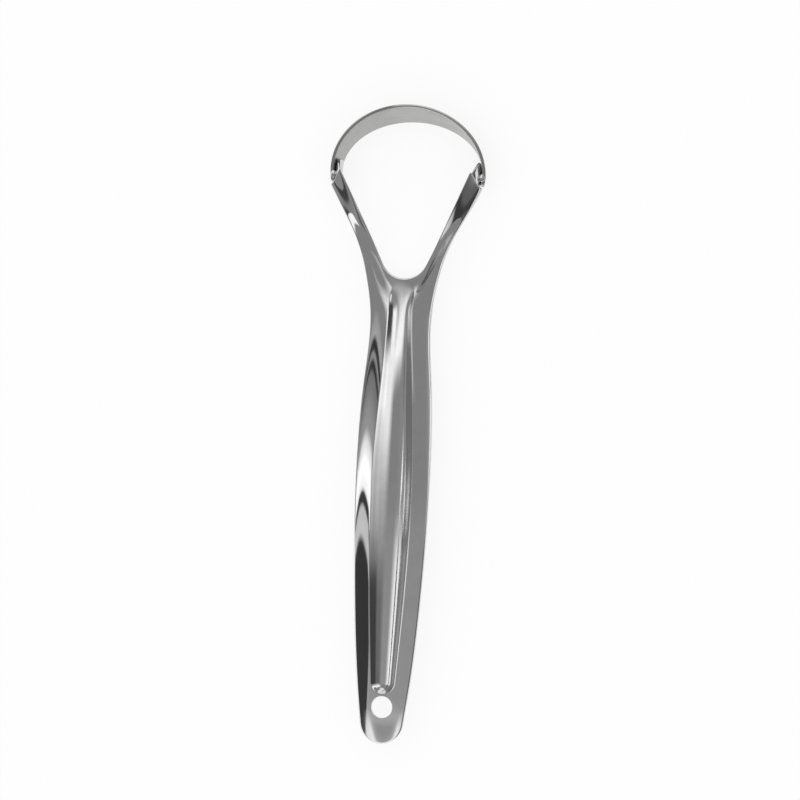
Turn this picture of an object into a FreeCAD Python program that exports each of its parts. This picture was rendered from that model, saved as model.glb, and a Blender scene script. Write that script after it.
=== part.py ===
import FreeCAD, Part
import math
import os

# A pressed sheet-steel tongue scraper, lying on its back with the open side of its trough up.
# X runs across, Y from the tail to the head and Z up. All sizes are in millimetres.
# A station is a distance along Y from the tail end, and a height is along Z from the flange level.

Vector = FreeCAD.Vector

# Sheet thicknesses
FRAME_SHEET = 1.0
BAND_SHEET = 0.8

# Handle outline
TAIL_RADIUS = 5.3
TAIL_TAPER_DEG = 7.0
BELLY_STATION = 60.0
BELLY_WIDTH = 18.0
NECK_SETBACK = 10.0
NECK_WIDTH = 14.8

# Hanging hole in the tail
HOLE_DIAMETER = 5.0
HOLE_STATION = 8.6

# Trough pressed into the handle
TROUGH_HOLE_GAP = 0.5
TROUGH_CROTCH_GAP = 0.6
TROUGH_LOW_WIDTH = 6.0
TROUGH_BELLY_WIDTH = 10.0
TROUGH_HIGH_WIDTH = 5.8
TROUGH_DEPTH = 2.6

# Flanges beside the trough
FLANGE_WIDTH = 4.0
FLANGE_DROP = 0.4

# Gentle backward bow from the middle of the handle to the head
BOW_STATION = 45.0
BOW_RADIUS = 2200.0

# Fork and arms
CROTCH_STATION = 109.3
CROTCH_RADIUS = 5.8
ARM_TIP_RISE = 0.7
ARM_TIP_INSET = 3.03
ARM_WIDTH = 3.9
ARM_DISH = 1.4

# Fold along each arm, set back from the band's station and out from the arm's inner edge
CREASE_SETBACK = 8.8
CREASE_OFFSET = 3.44
CREASE_LEAN_DEG = 41.6
CREASE_ROUNDING = 0.8
ARM_FOLD_DEG = 40.0

# Scraping band, seen from above as two half ellipses: its front edge, and its back edge which lies inside it
BAND_CROTCH_GAP = 24.7
BAND_DROP = 3.0
FRONT_WIDTH = 37.8
FRONT_RISE = 16.1
FRONT_END_HEIGHT = -1.9
FRONT_APEX_HEIGHT = 0.6
SIDE_FLARE = 1.0
APEX_FLARE = 3.2
BACK_END_HEIGHT = -6.0
BACK_APEX_HEIGHT = -6.4

# Lap of the band's ends on the ears at the arm tips, and its spot welds
LAP_GAP = 0.05
WELD_DIAMETER = 1.0

# One overrun for every cut, and the fineness of the mesh that measures the whole
OVERRUN = 2.0
MESH_FINENESS = 0.01

# Places that follow from these sizes
NECK_STATION = CROTCH_STATION - NECK_SETBACK
TROUGH_LOW_STATION = HOLE_STATION + HOLE_DIAMETER / 2.0 + TROUGH_HOLE_GAP
TROUGH_HIGH_STATION = CROTCH_STATION - TROUGH_CROTCH_GAP
CROTCH_CENTRE = CROTCH_STATION + CROTCH_RADIUS
BAND_STATION = CROTCH_STATION + BAND_CROTCH_GAP
CREASE_STATION = BAND_STATION - CREASE_SETBACK
ARM_TIP_STATION = BAND_STATION + ARM_TIP_RISE
ARM_TIP_SIDE = FRONT_WIDTH / 2.0 - ARM_TIP_INSET

# Each arm's inner edge runs straight from its tip and meets the crotch's arc
ARM_LEAN = (math.atan2(ARM_TIP_SIDE, ARM_TIP_STATION - CROTCH_CENTRE)
            - math.asin(CROTCH_RADIUS / math.hypot(ARM_TIP_SIDE, ARM_TIP_STATION - CROTCH_CENTRE)))

# Points of the outline between its named stations, as (length share, width share) of each stretch
TAPER_SHARES = ((0.13, 0.25), (0.5, 0.73))
NECKING_SHARES = ((0.38, 0.10), (0.62, 0.44))
FLARE_SHARES = ((0.29, 0.105), (0.575, 0.35), (0.83, 0.735))

# The ear leaves this part of its fold, set back in the sheet, and covers this part of the band's length and width
EAR_FOLD_SHARES = (0.05, 0.93)
EAR_SETBACK_SHARE = 0.3
EAR_LENGTH_SHARE = 0.115
EAR_WIDTH_SHARE = 0.55

# The weld lies at this part of the band's length
WELD_LENGTH_SHARE = 0.04

# Exponents of the trough's section: a flat floor, then firm lips
FLOOR_POWER = 2.5
LIP_POWER = 1.3

# Points across and along each formed surface, and the share of the columns' spread that is even
PRESSING_COLUMN_COUNT = 61
PRESSING_ROW_COUNT = 139
EVEN_COLUMN_SHARE = 0.6
BAND_COLUMN_COUNT = 41
BAND_ROW_COUNT = 4
EAR_COLUMN_COUNT = 9
EAR_ROW_COUNT = 13


def blend(start, end, share):
    """Return the value that lies at a share of the way from start to end."""
    return start + (end - start) * share


def clamp(share):
    """Keep a share between 0 and 1."""
    return min(max(share, 0.0), 1.0)


def ease(share):
    """Return a share that starts and ends gently."""
    kept = clamp(share)
    return kept * kept * (3.0 - 2.0 * kept)


def spread(first, last, count):
    """Return evenly spaced values from first to last."""
    return [blend(first, last, index / (count - 1)) for index in range(count)]


def surface_through(place, columns, rows):
    """Return a smooth surface through the points that place(column, row) gives."""
    grid = [[place(column, row) for row in rows] for column in columns]
    surface = Part.BSplineSurface()
    surface.interpolate(grid)
    return surface


def solid_between(upper, lower):
    """Close the space between two formed surfaces with straight walls."""
    faces = [upper.toShape(), lower.toShape()]
    upper_ends = upper.bounds()
    lower_ends = lower.bounds()
    for end in (0, 1):
        faces.append(Part.makeRuledSurface(upper.uIso(upper_ends[end]).toShape(),
                                           lower.uIso(lower_ends[end]).toShape()))
    for end in (2, 3):
        faces.append(Part.makeRuledSurface(upper.vIso(upper_ends[end]).toShape(),
                                           lower.vIso(lower_ends[end]).toShape()))
    shell = Part.makeShell(faces)
    shell.sewShape()
    solid = Part.makeSolid(shell)
    if solid.Volume < 0.0:
        solid.reverse()
    return solid


# Band

def band_angle(share):
    """Return the angle at a share of the way along the band, from its right end to its left end."""
    drop_angle = math.asin(BAND_DROP / FRONT_RISE)
    return blend(-drop_angle, math.pi + drop_angle, share)


def band_point(length_share, width_share, inset):
    """Return a point of the band, from its front edge to its back edge, set in from its outer face."""
    angle = band_angle(length_share)
    rise_share = (math.sin(angle) * FRONT_RISE + BAND_DROP) / (FRONT_RISE + BAND_DROP)
    half_width = FRONT_WIDTH / 2.0 - SIDE_FLARE * width_share - inset
    rise = FRONT_RISE - APEX_FLARE * width_share - inset
    front_height = blend(FRONT_END_HEIGHT, FRONT_APEX_HEIGHT, rise_share)
    back_height = blend(BACK_END_HEIGHT, BACK_APEX_HEIGHT, rise_share)
    return Vector(half_width * math.cos(angle), BAND_STATION + rise * math.sin(angle),
                  blend(front_height, back_height, width_share))


def band_strip(length_shares, width_shares, outer_inset, thickness):
    """Return a strip that follows the band between two shares of its length and of its width."""
    columns = spread(*length_shares, BAND_COLUMN_COUNT)
    rows = spread(*width_shares, BAND_ROW_COUNT)
    outer = surface_through(lambda column, row: band_point(column, row, outer_inset), columns, rows)
    inner = surface_through(lambda column, row: band_point(column, row, outer_inset + thickness), columns, rows)
    return solid_between(outer, inner)


def make_band():
    """Return the arched strip that closes the loop."""
    return band_strip((0.0, 1.0), (0.0, 1.0), 0.0, BAND_SHEET)


# Handle frame

def bow_height(y):
    """Return the height of the flange level at a station."""
    past = max(y - BOW_STATION, 0.0)
    return -past * past / (2.0 * BOW_RADIUS)


def trough_share(x, y):
    """Return how deep the trough is at a point, as a share of its full depth, and its half width there."""
    low_core = TROUGH_LOW_STATION + TROUGH_LOW_WIDTH / 2.0
    high_core = TROUGH_HIGH_STATION - TROUGH_HIGH_WIDTH / 2.0
    station = min(max(y, low_core), high_core)
    if station < BELLY_STATION:
        run_share = math.sin((station - low_core) / (BELLY_STATION - low_core) * math.pi / 2.0)
        width = blend(TROUGH_LOW_WIDTH, TROUGH_BELLY_WIDTH, run_share)
    else:
        run_share = ease((station - BELLY_STATION) / (high_core - BELLY_STATION))
        width = blend(TROUGH_BELLY_WIDTH, TROUGH_HIGH_WIDTH, run_share)
    end_radius = (TROUGH_LOW_WIDTH if y < BELLY_STATION else TROUGH_HIGH_WIDTH) / 2.0
    reach = math.hypot(2.0 * x / width, (y - station) / end_radius)
    return max(1.0 - reach ** FLOOR_POWER, 0.0) ** LIP_POWER, width / 2.0


def fold_rise(x, y):
    """Return how far an arm is folded forward at a point past its crease."""
    lean = math.radians(CREASE_LEAN_DEG)
    crease_side = inner_edge(CREASE_STATION) + CREASE_OFFSET
    past = (crease_side - abs(x)) * math.cos(lean) + (y - CREASE_STATION) * math.sin(lean)
    rounded = (past + math.hypot(past, CREASE_ROUNDING)) / 2.0
    fade = ease((y - CROTCH_STATION) / (CREASE_STATION - CROTCH_STATION) * 2.0)
    return rounded * fade * math.tan(math.radians(ARM_FOLD_DEG))


def inner_edge(y):
    """Return how far an arm's inner edge lies from the middle plane at a station."""
    return ARM_TIP_SIDE - (ARM_TIP_STATION - y) * math.tan(ARM_LEAN)


def frame_height(x, y):
    """Return the height of the frame's open face."""
    depth_share, half_width = trough_share(x, y)
    past_lip = max(abs(x) - half_width, 0.0)
    handle_share = 1.0 - ease((y - NECK_STATION) / (CROTCH_STATION - NECK_STATION))
    fall = FLANGE_DROP * (past_lip / FLANGE_WIDTH) ** 2 * handle_share
    dish_share = ease(1.0 - (abs(x) - inner_edge(y)) / ARM_WIDTH) * (1.0 - handle_share) * (1.0 - depth_share)
    trough_depth = TROUGH_DEPTH * half_width / (TROUGH_BELLY_WIDTH / 2.0)
    return bow_height(y) - trough_depth * depth_share - fall - ARM_DISH * dish_share + fold_rise(x, y)


def formed_sheet():
    """Return the formed sheet before its outline is cut."""
    reach = FRONT_WIDTH / 2.0 + OVERRUN
    columns = []
    for share in spread(-1.0, 1.0, PRESSING_COLUMN_COUNT):
        columns.append(reach * (EVEN_COLUMN_SHARE * share + (1.0 - EVEN_COLUMN_SHARE) * share ** 3))
    rows = spread(-OVERRUN, ARM_TIP_STATION + OVERRUN, PRESSING_ROW_COUNT)
    front = surface_through(lambda x, y: Vector(x, y, frame_height(x, y)), columns, rows)
    back = surface_through(lambda x, y: Vector(x, y, frame_height(x, y) - FRAME_SHEET), columns, rows)
    return solid_between(front, back)


def ear_fold():
    """Return the two ends of the fold, seen from above, where the right arm's ear leaves its tip."""
    start = band_point(0.0, 0.0, BAND_SHEET + LAP_GAP)
    return Vector(start.x, start.y, 0.0), Vector(ARM_TIP_SIDE, ARM_TIP_STATION, 0.0)


def make_ear():
    """Return the right arm's ear, which bends down from the fold at its tip and lies on the inside of the band."""
    start, tip = ear_fold()
    along = (tip - start).normalize()
    back = Vector(-math.sin(ARM_LEAN), -math.cos(ARM_LEAN), 0.0)
    back_step = back * (FRAME_SHEET / abs(along.x * back.y - along.y * back.x))

    def ear_point(length_share, fall_share, inset_share):
        plan = start + (tip - start) * blend(*EAR_FOLD_SHARES, length_share)
        plan = plan + back_step * (EAR_SETBACK_SHARE + inset_share)
        top = Vector(plan.x, plan.y, frame_height(plan.x, plan.y) - FRAME_SHEET / 2.0)
        seat = band_point(EAR_LENGTH_SHARE * length_share, EAR_WIDTH_SHARE * fall_share,
                          BAND_SHEET + LAP_GAP + FRAME_SHEET * inset_share)
        return top + (seat - top) * ease(2.0 * fall_share)

    columns = spread(0.0, 1.0, EAR_COLUMN_COUNT)
    rows = spread(0.0, 1.0, EAR_ROW_COUNT)
    outer = surface_through(lambda column, row: ear_point(column, row, 0.0), columns, rows)
    inner = surface_through(lambda column, row: ear_point(column, row, 1.0), columns, rows)
    return solid_between(outer, inner)


def stretch_points(start, end, shares):
    """Return the points at (length share, width share) pairs between two corners of an outline."""
    return [Vector(blend(start.x, end.x, wide), blend(start.y, end.y, along), 0.0) for along, wide in shares]


def right_outline():
    """Return the edges of the outline's right half, from the tail end round to the crotch."""
    taper = math.radians(TAIL_TAPER_DEG)
    tail_end = Vector(0.0, 0.0, 0.0)
    tail_side = Vector(TAIL_RADIUS * math.cos(taper), TAIL_RADIUS - TAIL_RADIUS * math.sin(taper), 0.0)
    half_turn = (math.pi / 2.0 + taper) / 2.0 - taper
    tail_middle = Vector(TAIL_RADIUS * math.cos(half_turn), TAIL_RADIUS - TAIL_RADIUS * math.sin(half_turn), 0.0)
    belly = Vector(BELLY_WIDTH / 2.0, BELLY_STATION, 0.0)
    neck = Vector(NECK_WIDTH / 2.0, NECK_STATION, 0.0)

    # The arm's outer edge runs out to a shoulder under the band's end
    shoulder = band_point(0.0, 0.0, 0.0)
    corner = Vector(shoulder.x, shoulder.y - LAP_GAP, 0.0)

    points = [tail_side]
    points += stretch_points(tail_side, belly, TAPER_SHARES) + [belly]
    points += stretch_points(belly, neck, NECKING_SHARES) + [neck]
    points += stretch_points(neck, corner, FLARE_SHARES) + [corner]
    side = Part.BSplineCurve()
    side.interpolate(Points=points, InitialTangent=Vector(math.sin(taper), math.cos(taper), 0.0),
                     FinalTangent=Vector(math.sin(ARM_LEAN), math.cos(ARM_LEAN), 0.0))

    crotch_side = Vector(CROTCH_RADIUS * math.cos(ARM_LEAN), CROTCH_CENTRE - CROTCH_RADIUS * math.sin(ARM_LEAN), 0.0)
    half_lean = (math.pi / 2.0 + ARM_LEAN) / 2.0
    crotch_middle = Vector(CROTCH_RADIUS * math.cos(half_lean),
                           CROTCH_CENTRE - CROTCH_RADIUS * math.sin(half_lean), 0.0)
    crotch_end = Vector(0.0, CROTCH_STATION, 0.0)
    ear_start, tip = ear_fold()

    return [Part.Arc(tail_end, tail_middle, tail_side).toShape(),
            side.toShape(),
            Part.LineSegment(corner, ear_start).toShape(),
            Part.LineSegment(ear_start, tip).toShape(),
            Part.LineSegment(tip, crotch_side).toShape(),
            Part.Arc(crotch_side, crotch_middle, crotch_end).toShape()]


def mirrored(shape):
    """Return the shape's mirror image on the other side of the middle plane."""
    return shape.mirror(Vector(0.0, 0.0, 0.0), Vector(1.0, 0.0, 0.0))


def make_frame():
    """Return the pressed handle with its arms, its ears and its hanging hole."""
    right = right_outline()
    edges = right + [mirrored(edge) for edge in right]
    outline = Part.Face(Part.Wire(Part.__sortEdges__(edges)))
    sheet = formed_sheet()
    floor = sheet.BoundBox.ZMin - OVERRUN
    height = sheet.BoundBox.ZLength + 2.0 * OVERRUN
    outline.translate(Vector(0.0, 0.0, floor))
    frame = sheet.common(outline.extrude(Vector(0.0, 0.0, height)))
    hole = Part.makeCylinder(HOLE_DIAMETER / 2.0, height, Vector(0.0, HOLE_STATION, floor))
    frame = frame.cut(hole)
    ear = make_ear()
    return frame.fuse([ear, mirrored(ear)])


# Spot welds

def make_weld():
    """Return the right-hand weld, a round bead on the band's front edge beside the ear."""
    inset = WELD_DIAMETER / 2.0
    foot = band_point(WELD_LENGTH_SHARE, 0.0, inset)
    along = band_point(2.0 * WELD_LENGTH_SHARE, 0.0, inset) - band_point(0.0, 0.0, inset)
    across = band_point(WELD_LENGTH_SHARE, 0.0, 0.0) - foot
    up = across.cross(along).normalize()
    return Part.makeSphere(WELD_DIAMETER / 2.0, foot + up * LAP_GAP, up, 0.0, 90.0, 360.0)


def write_parts():
    """Build the pieces, set them on their base and write one file for each."""
    weld = make_weld()
    pieces = {
        "handle_frame": make_frame(),
        "scraper_band": make_band(),
        "spot_welds": Part.makeCompound([weld, mirrored(weld)]),
    }
    box = FreeCAD.BoundBox()
    for shape in pieces.values():
        for point in shape.tessellate(MESH_FINENESS)[0]:
            box.add(point)
    seat = Vector(-box.Center.x, -box.Center.y, -box.ZMin)
    os.makedirs("parts", exist_ok=True)
    for name, shape in pieces.items():
        shape.translate(seat)
        shape.exportStep(os.path.join("parts", name + ".step"))
        print(name, "solids", len(shape.Solids), "valid", shape.isValid(), "volume", round(shape.Volume, 3))
    print("box", round(box.XLength, 3), round(box.YLength, 3), round(box.ZLength, 3))
    hole_seat = seat + Vector(0.0, HOLE_STATION, bow_height(HOLE_STATION) - FRAME_SHEET / 2.0)
    print("hole centre", [round(value, 4) for value in hole_seat])


write_parts()
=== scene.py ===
"""A pressed-steel tongue scraper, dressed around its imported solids. Sizes are in millimetres."""
import logging
import math
from dataclasses import dataclass, field
from enum import Enum
from typing import Optional

import bpy
import numpy as np
from bpy.types import Material, Mesh, Node, NodeSocket, NodeTree, Object
from mathutils import Matrix, Vector
from mathutils.geometry import delaunay_2d_cdt


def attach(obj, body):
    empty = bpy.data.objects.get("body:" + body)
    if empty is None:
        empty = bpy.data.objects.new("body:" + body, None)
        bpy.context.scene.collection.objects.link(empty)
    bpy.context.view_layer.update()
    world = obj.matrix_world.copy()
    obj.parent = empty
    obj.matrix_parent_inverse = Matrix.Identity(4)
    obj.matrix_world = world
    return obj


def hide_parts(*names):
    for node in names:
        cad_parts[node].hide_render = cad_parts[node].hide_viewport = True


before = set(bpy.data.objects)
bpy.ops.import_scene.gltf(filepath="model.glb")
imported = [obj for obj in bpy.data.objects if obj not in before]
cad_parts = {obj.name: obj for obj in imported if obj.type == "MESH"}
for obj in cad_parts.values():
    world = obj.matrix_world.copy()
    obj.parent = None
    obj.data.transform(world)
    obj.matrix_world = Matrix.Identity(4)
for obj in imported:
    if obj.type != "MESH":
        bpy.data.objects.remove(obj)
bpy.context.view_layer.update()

LOG = logging.getLogger("tongue_scraper")

MM = 0.001
# Where station 0, the tail end, and height 0, the open face of the flanges, lie in the row frame
TAIL_Y = -75.05
FLANGE_Z = 6.4
WHITE = (1.0, 1.0, 1.0, 1.0)
# The mesher keeps only the triangles that lie inside the loops
INSIDE_ONLY = 1
# The brightest glow that a ramp holds
GLOW_TOP = 2.0
# How many reaches away a loop's points still count when it is softened
SOFT_REACHES = 3

# Places along a piece, each with its value there
Pairs = tuple[tuple[float, float], ...]


class Slot(Enum):
    """The record's material slots."""

    POLISHED = "polished_steel"
    SATIN = "satin_steel"
    WELD = "weld_steel"


def ease(share: np.ndarray) -> np.ndarray:
    """Return a share, kept between 0 and 1, that starts and ends gently."""
    kept = np.clip(share, 0.0, 1.0)
    return kept * kept * (3.0 - 2.0 * kept)


def blend(start: float, end: float, share: float) -> float:
    """Return the value at a share of the way from start to end."""
    return start + (end - start) * share


def to_row(points: np.ndarray) -> np.ndarray:
    """Turn points in stations and heights into the row frame.

    Args:
        points: rows of x, station and height in millimetres.

    Returns:
        The same points in metres in the row frame.
    """
    return (points + np.array([0.0, TAIL_Y, FLANGE_Z])) * MM


def plain_object(name: str, mesh: Mesh) -> Object:
    """Link a mesh to the scene as an object at the origin.

    Args:
        name: the object's name.
        mesh: its mesh, already in the row frame.

    Returns:
        The new object.
    """
    made = bpy.data.objects.new(name, mesh)
    bpy.context.scene.collection.objects.link(made)
    return made


class NodeGraph:
    """A short hand for building a node tree."""

    def __init__(self, tree: NodeTree) -> None:
        """Start on an emptied tree."""
        self.tree = tree
        tree.nodes.clear()

    def add(self, kind: str, inputs: Optional[dict] = None, **settings: object) -> Node:
        """Add a node.

        Args:
            kind: the node's type name.
            inputs: values or sockets for its inputs, by name or number.
            settings: attributes to set on the node first.

        Returns:
            The node.
        """
        node = self.tree.nodes.new(kind)
        for key, value in settings.items():
            setattr(node, key, value)
        for key, value in (inputs or {}).items():
            self.feed(node.inputs[key], value)
        return node

    def first(self, kind: str, inputs: Optional[dict] = None, **settings: object) -> NodeSocket:
        """Add a node as add does, and return its first output."""
        return self.add(kind, inputs, **settings).outputs[0]

    def feed(self, socket: NodeSocket, value: object) -> None:
        """Link a socket to an input, or set its value.

        Args:
            socket: the input.
            value: the socket to link it to, or its value.
        """
        if isinstance(value, NodeSocket):
            self.tree.links.new(value, socket)
        else:
            socket.default_value = value

    def math(self, operation: str, *values: object) -> NodeSocket:
        """Add a math node.

        Args:
            operation: what it works out.
            values: its inputs, as numbers or sockets.

        Returns:
            The result's socket.
        """
        return self.first("ShaderNodeMath", dict(enumerate(values)), operation=operation)

    def mix(self, start: object, end: object, share: object) -> NodeSocket:
        """Return start plus the share of the way to end."""
        return self.math("MULTIPLY_ADD", self.math("SUBTRACT", end, start), share, start)

    def object_place(self) -> NodeSocket:
        """Return the place on the object that is being shaded."""
        return self.add("ShaderNodeTexCoord").outputs["Object"]

    def scaled(self, vector: object, scale: object) -> NodeSocket:
        """Return a vector times a number."""
        return self.first("ShaderNodeVectorMath", {0: vector, "Scale": scale}, operation="SCALE")

    def spread(self, value: object, low: float, high: float, to_low: float = 0.0,
               to_high: float = 1.0) -> NodeSocket:
        """Move a value from one range to another and keep it there.

        Args:
            value: the value.
            low: the first range's start.
            high: the first range's end.
            to_low: the second range's start.
            to_high: the second range's end.

        Returns:
            The moved value's socket.
        """
        node = self.add("ShaderNodeMapRange", {"Value": value, "From Min": low, "From Max": high,
                                               "To Min": to_low, "To Max": to_high})
        return node.outputs["Result"]


def started_material(name: str) -> tuple[Material, NodeGraph]:
    """Make a material with an empty node tree.

    Args:
        name: the material's name.

    Returns:
        The material, and its tree to build on.
    """
    made = bpy.data.materials.new(name)
    made.use_nodes = True
    return made, NodeGraph(made.node_tree)


def started_tree(name: str, sizes: dict[str, float]) -> tuple[NodeTree, NodeGraph, dict[str, str]]:
    """Make a geometry tree with an empty body.

    Args:
        name: the tree's name.
        sizes: the sizes that it takes, by name.

    Returns:
        The tree, its body to build on, and the identifier of each size.
    """
    tree = bpy.data.node_groups.new(name, "GeometryNodeTree")
    for way in ("INPUT", "OUTPUT"):
        tree.interface.new_socket("Geometry", in_out=way, socket_type="NodeSocketGeometry")
    names = {}
    for size in sizes:
        socket = tree.interface.new_socket(size, in_out="INPUT", socket_type="NodeSocketFloat")
        names[size] = socket.identifier
    return tree, NodeGraph(tree), names


def finish_tree(graph: NodeGraph, geometry: NodeSocket, material: Material) -> None:
    """Make a tree's geometry real, dress it and put it out.

    Args:
        graph: the tree's body.
        geometry: the geometry's socket.
        material: its finish.
    """
    real = graph.first("GeometryNodeRealizeInstances", {"Geometry": geometry})
    dressed = graph.first("GeometryNodeSetMaterial", {"Geometry": real, "Material": material})
    graph.add("NodeGroupOutput", {"Geometry": dressed})


def settled(name: str, mesh: Mesh, tree: NodeTree, names: dict[str, str],
            values: dict[str, float]) -> Object:
    """Run a tree on a mesh and keep the result as a plain mesh.

    Args:
        name: the finished object's name.
        mesh: the mesh that the tree starts from.
        tree: the tree.
        names: the identifier of each named input.
        values: the value of each named input.

    Returns:
        The finished object, with no modifier.
    """
    draft = plain_object(name + "_draft", mesh)
    modifier = draft.modifiers.new("tree", "NODES")
    modifier.node_group = tree
    for key, value in values.items():
        modifier[names[key]] = value
    graph = bpy.context.evaluated_depsgraph_get()
    result = bpy.data.meshes.new_from_object(draft.evaluated_get(graph), preserve_all_data_layers=True,
                                             depsgraph=graph)
    draft.modifiers.clear()
    bpy.data.objects.remove(draft)
    result.name = name
    return plain_object(name, result)


@dataclass(frozen=True)
class SteelFinish:
    """A steel surface with fine marks, smudges and worn edges."""

    name: str
    colour: tuple[float, float, float]
    roughness: float
    smudge: float
    mark_scale: tuple[float, float, float]
    mark_height: float
    mark_roughness: float
    edge_roughness: float
    anisotropy: float = 0.0
    on_attribute: str = ""
    mark_strength: float = 0.25
    smudge_scale: float = 95.0
    smudge_tone: float = -0.05
    grime_scale: float = 420.0
    grime_tone: float = 0.02
    edge_tone: float = 0.06
    mark_range: tuple[float, float] = (0.45, 0.75)
    smudge_range: tuple[float, float] = (0.42, 0.72)
    grime_range: tuple[float, float] = (0.35, 0.7)

    def make(self) -> Material:
        """Build the finish.

        Returns:
            The node material.
        """
        material, graph = started_material(self.name)
        at_object = graph.object_place()
        place = at_object
        if self.on_attribute:
            place = graph.add("ShaderNodeAttribute", attribute_name=self.on_attribute).outputs["Vector"]
        marks_at = graph.first("ShaderNodeMapping", {"Vector": place, "Scale": self.mark_scale})
        marks = graph.first("ShaderNodeTexNoise", {"Vector": marks_at, "Scale": 1.0, "Detail": 4.0,
                                                   "Roughness": 0.6})
        smudges = graph.first("ShaderNodeTexNoise", {"Vector": at_object, "Scale": self.smudge_scale,
                                                     "Detail": 5.0, "Roughness": 0.62})
        grime = graph.first("ShaderNodeTexNoise", {"Vector": at_object, "Scale": self.grime_scale,
                                                   "Detail": 3.0})
        edge = graph.add("ShaderNodeAttribute", attribute_name="edge").outputs["Fac"]
        smudged = graph.spread(smudges, *self.smudge_range)
        marked = graph.spread(marks, *self.mark_range)
        grimy = graph.spread(grime, *self.grime_range, -1.0, 1.0)
        rough = graph.math("MULTIPLY_ADD", smudged, self.smudge, self.roughness)
        rough = graph.math("MULTIPLY_ADD", marked, self.mark_roughness, rough)
        rough = graph.mix(rough, self.edge_roughness, edge)
        tone = graph.math("MULTIPLY", graph.math("MULTIPLY_ADD", grimy, self.grime_tone, 1.0),
                          graph.math("MULTIPLY_ADD", smudged, self.smudge_tone, 1.0))
        tone = graph.math("MULTIPLY_ADD", edge, self.edge_tone, tone)
        bump = graph.first("ShaderNodeBump", {"Height": marks, "Strength": self.mark_strength,
                                              "Distance": self.mark_height})
        shader = graph.first("ShaderNodeBsdfPrincipled", {
            "Base Color": graph.scaled(self.colour, tone), "Metallic": 1.0, "Roughness": rough,
            "Normal": bump, "Anisotropic": self.anisotropy})
        graph.add("ShaderNodeOutputMaterial", {"Surface": shader})
        return material


MIRROR_POLISH = SteelFinish(
    "mirror_polish", colour=(0.70, 0.705, 0.70), roughness=0.075, smudge=0.05,
    mark_scale=(900.0, 90.0, 900.0), mark_height=0.000012, mark_roughness=0.03, edge_roughness=0.16)
SATIN_GRIND = SteelFinish(
    "satin_grind", colour=(0.475, 0.475, 0.462), roughness=0.36, smudge=0.05, mark_scale=(0.1, 3.2, 1.0),
    mark_height=0.00006, mark_roughness=0.16, edge_roughness=0.22, anisotropy=0.35, on_attribute="grain")
BEAD_POLISH = SteelFinish(
    "bead_polish", colour=(0.74, 0.74, 0.74), roughness=0.12, smudge=0.06,
    mark_scale=(1500.0, 1500.0, 1500.0), mark_height=0.00004, mark_roughness=0.06, edge_roughness=0.15)


def slat_section(end_share: float, face_rows: int, edge_rows: int) -> list[tuple[float, float, float]]:
    """Lay out the section of a slat with rounded edges.

    Args:
        end_share: a rounded edge's share of the slat's height.
        face_rows: steps across each face.
        edge_rows: steps round each edge.

    Returns:
        Each point's share across the slat, share through it and edge share.
    """
    points = []
    for near, far, side in ((end_share, 1.0 - end_share, 0.5), (1.0 - end_share, end_share, -0.5)):
        points += [(blend(near, far, index / face_rows), 0.5 - side, 0.0) for index in range(face_rows + 1)]
        for index in range(1, edge_rows):
            turn = math.pi * index / edge_rows
            across = far + 2.0 * side * end_share * math.sin(turn)
            points.append((across, 0.5 - side * math.cos(turn), 1.0))
    return points


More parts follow.
